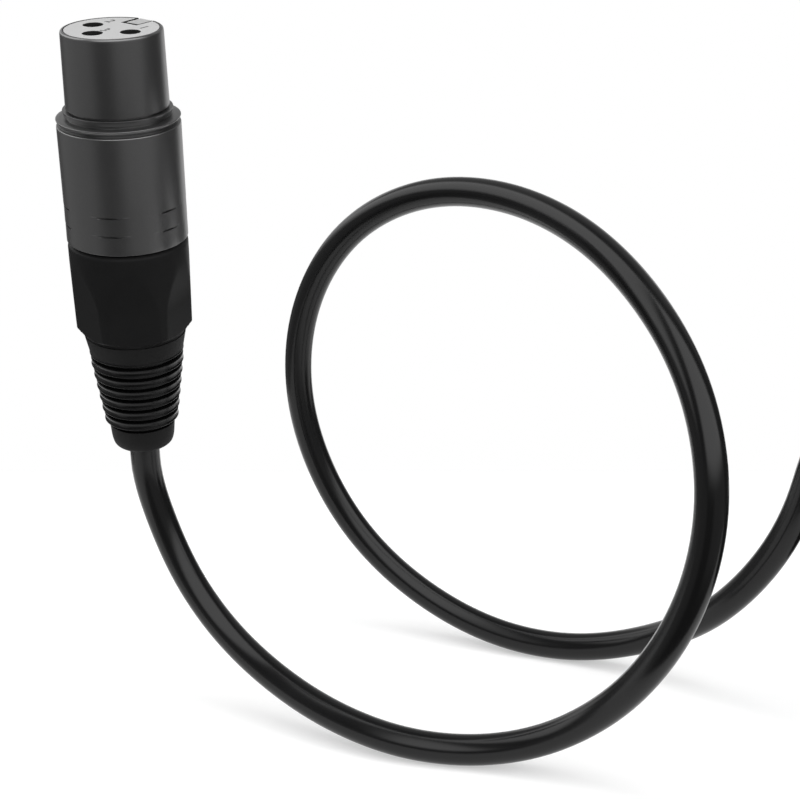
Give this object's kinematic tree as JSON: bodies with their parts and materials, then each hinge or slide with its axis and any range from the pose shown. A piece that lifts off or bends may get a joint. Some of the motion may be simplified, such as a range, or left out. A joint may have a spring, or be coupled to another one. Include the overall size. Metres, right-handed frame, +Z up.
{
  "type": "xlr microphone cable",
  "caption": "Black microphone cable with a latching socket connector held up by a standing loop, the rest of its length in a strapped coil, and a plug connector at the far end.",
  "frame": {"origin": "on the floor, under the middle of the box round the two connectors", "axes": "+X from the socket connector towards the plug connector, +Y away from the side that the picture was taken from, +Z up"},
  "size_m": [0.2842, 0.0892, 0.1169],
  "materials": {
    "shell_metal": "satin black",
    "insert_plastic": "matt light grey",
    "contact_plating": "silver plated",
    "steel": "bright",
    "nut_plastic": "satin black",
    "sleeve_rubber": "satin black",
    "cable_jacket": "satin black",
    "strap_fabric": "woven black",
    "core_screen": "bare copper",
    "core_red": "satin",
    "core_white": "satin"
  },
  "bodies": {
    "cable": {"female_shell": "shell_metal", "female_insert": "insert_plastic", "female_contact_1": "contact_plating", "female_contact_2": "contact_plating", "female_contact_3": "contact_plating", "female_latch_pin": "steel", "female_latch_spring": "steel", "female_core_1": "core_screen", "female_core_2": "core_red", "female_core_3": "core_white", "male_shell": "shell_metal", "male_insert": "insert_plastic", "male_pin_1": "contact_plating", "male_pin_2": "contact_plating", "male_pin_3": "contact_plating", "male_core_1": "core_screen", "male_core_2": "core_red", "male_core_3": "core_white", "cable_loop": "cable_jacket", "cable_coil": "cable_jacket", "cable_tail": "cable_jacket", "cable_tie": "strap_fabric"},
    "female_latch": {"female_latch_lever": "steel"},
    "female_collet": {"female_chuck": "nut_plastic"},
    "female_bushing": {"female_back_nut": "nut_plastic", "female_strain_relief": "sleeve_rubber"},
    "male_collet": {"male_chuck": "nut_plastic"},
    "male_bushing": {"male_back_nut": "nut_plastic", "male_strain_relief": "sleeve_rubber"}
  },
  "joints": [
    {"name": "latch_press", "type": "hinge", "parent": "cable", "child": "female_latch", "pos_m": [-0.12925, 0.01247, 0.11475], "axis": [-0.807, 0.5779, 0.1218], "range_deg": [0, 5], "stiffness_Nm_per_rad": 1.1, "deforming": ["female_latch_spring"]},
    {"name": "female_collet_slide", "type": "slide", "parent": "cable", "child": "female_collet", "axis": [0, 0.2062, -0.9785], "range_m": [0, 0.004]},
    {"name": "female_bushing_turn", "type": "hinge", "parent": "female_collet", "child": "female_bushing", "pos_m": [-0.1325, 0.0078, 0.1154], "axis": [0, 0.2062, -0.9785], "range_deg": [0, 1440]},
    {"name": "male_collet_slide", "type": "slide", "parent": "cable", "child": "male_collet", "axis": [-1, 0, 0], "range_m": [0, 0.004]},
    {"name": "male_bushing_turn", "type": "hinge", "parent": "male_collet", "child": "male_bushing", "pos_m": [0.1421, -0.0176, 0.00955], "axis": [-1, 0, 0], "range_deg": [0, 1440]}
  ],
  "couplings": [
    {"joint": "female_bushing_turn", "follows": "female_collet_slide", "rad_per_m": 6283},
    {"joint": "male_bushing_turn", "follows": "male_collet_slide", "rad_per_m": 6283}
  ]
}
